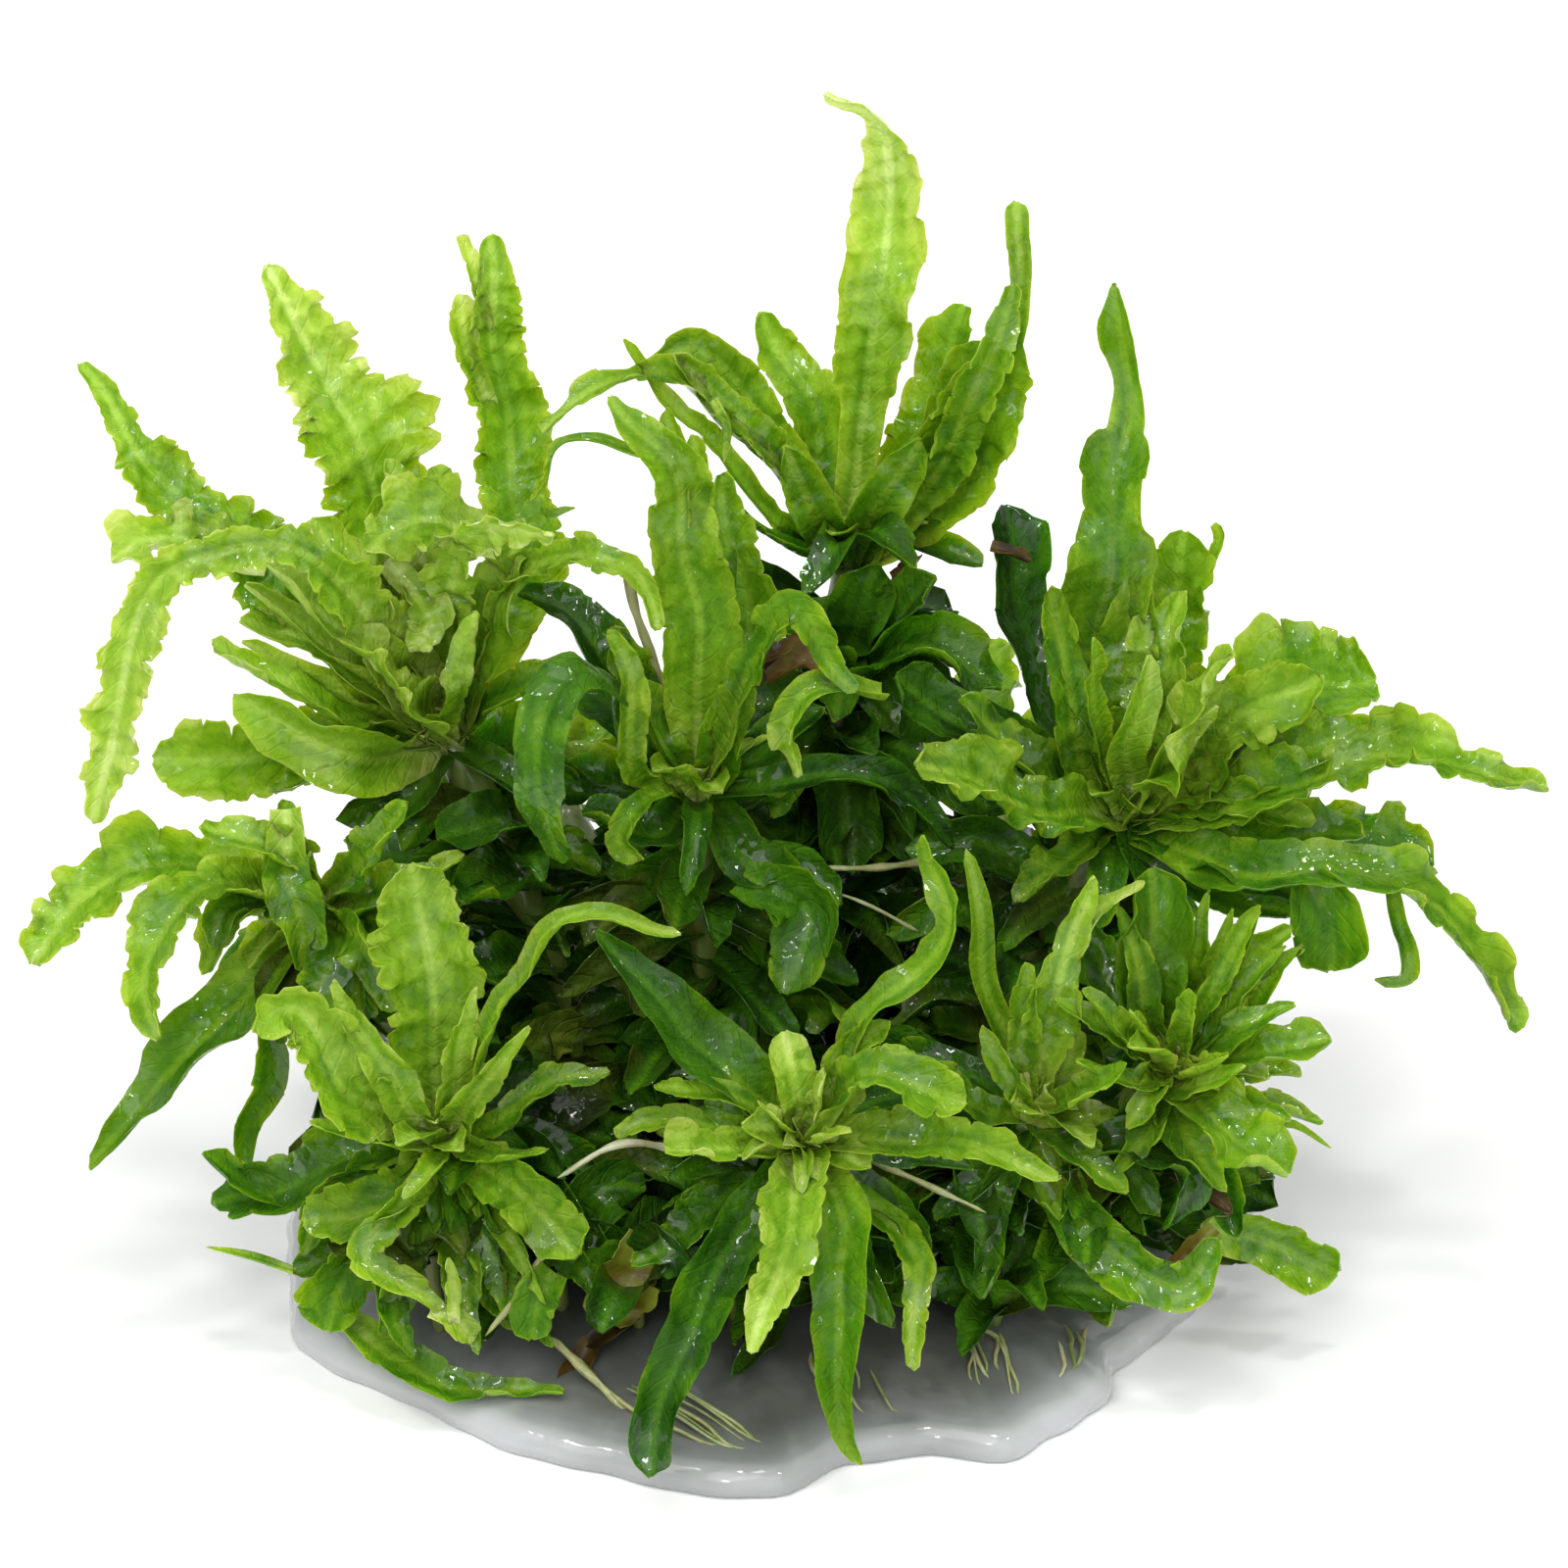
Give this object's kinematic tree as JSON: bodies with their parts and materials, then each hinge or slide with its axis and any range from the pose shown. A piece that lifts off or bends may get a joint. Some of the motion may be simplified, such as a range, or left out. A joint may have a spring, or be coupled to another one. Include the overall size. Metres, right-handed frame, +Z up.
{
  "type": "pogostemon aquarium plant clump",
  "caption": "Clump of small wavy-leaved rosette aquarium plants, grown in culture, rooted in their pad of clear nutrient gel that it stands on.",
  "frame": {"origin": "middle of the flat underside of the gel pad, on the surface it stands on", "axes": "+Z up, -Y towards the front of the clump, +X to its right"},
  "size_m": [0.0902, 0.0695, 0.0684],
  "materials": {
    "pale_leaf": "wet satin",
    "bright_leaf": "wet satin",
    "deep_leaf": "wet satin",
    "stem": "wet satin",
    "gel": "gloss"
  },
  "bodies": {
    "root": {"culture_gel": "gel", "upper_left_stem": "stem", "upper_left_leaf_1": "pale_leaf", "upper_left_leaf_2": "pale_leaf", "upper_left_leaf_3": "pale_leaf", "upper_left_leaf_4": "pale_leaf", "upper_left_leaf_5": "bright_leaf", "upper_back_stem": "stem", "upper_back_leaf_1": "pale_leaf", "upper_back_leaf_2": "bright_leaf", "upper_back_leaf_3": "bright_leaf", "upper_back_leaf_4": "bright_leaf", "upper_back_leaf_5": "bright_leaf", "middle_stem": "stem", "middle_leaf_1": "bright_leaf", "middle_leaf_2": "deep_leaf", "middle_leaf_3": "deep_leaf", "middle_leaf_4": "deep_leaf", "right_stem": "stem", "right_leaf_1": "bright_leaf", "right_leaf_2": "bright_leaf", "right_leaf_3": "pale_leaf", "right_leaf_4": "bright_leaf", "right_leaf_5": "bright_leaf", "right_leaf_6": "bright_leaf", "right_leaf_7": "deep_leaf", "right_leaf_8": "deep_leaf", "lower_left_stem": "stem", "lower_left_leaf_1": "bright_leaf", "lower_left_leaf_2": "bright_leaf", "lower_left_leaf_3": "bright_leaf", "lower_left_leaf_4": "deep_leaf", "lower_left_leaf_5": "bright_leaf", "far_left_stem": "stem", "far_left_leaf_1": "pale_leaf", "far_left_leaf_2": "bright_leaf", "far_left_leaf_3": "deep_leaf", "front_stem": "stem", "front_leaf_1": "deep_leaf", "front_leaf_2": "bright_leaf", "front_leaf_3": "bright_leaf", "front_leaf_4": "bright_leaf", "front_leaf_5": "deep_leaf", "front_leaf_6": "bright_leaf", "front_leaf_7": "bright_leaf", "lower_right_stem": "stem", "lower_right_leaf_1": "bright_leaf", "lower_right_leaf_2": "bright_leaf", "lower_right_leaf_3": "bright_leaf", "front_right_stem": "stem", "front_right_leaf_1": "bright_leaf", "front_right_leaf_2": "bright_leaf", "rear_left_stem": "stem", "rear_left_leaf_1": "bright_leaf", "rear_left_leaf_2": "bright_leaf", "rear_left_leaf_3": "deep_leaf", "rear_right_stem": "stem", "rear_right_leaf_1": "bright_leaf", "rear_right_leaf_2": "bright_leaf", "rear_right_leaf_3": "deep_leaf"}
  },
  "joints": []
}
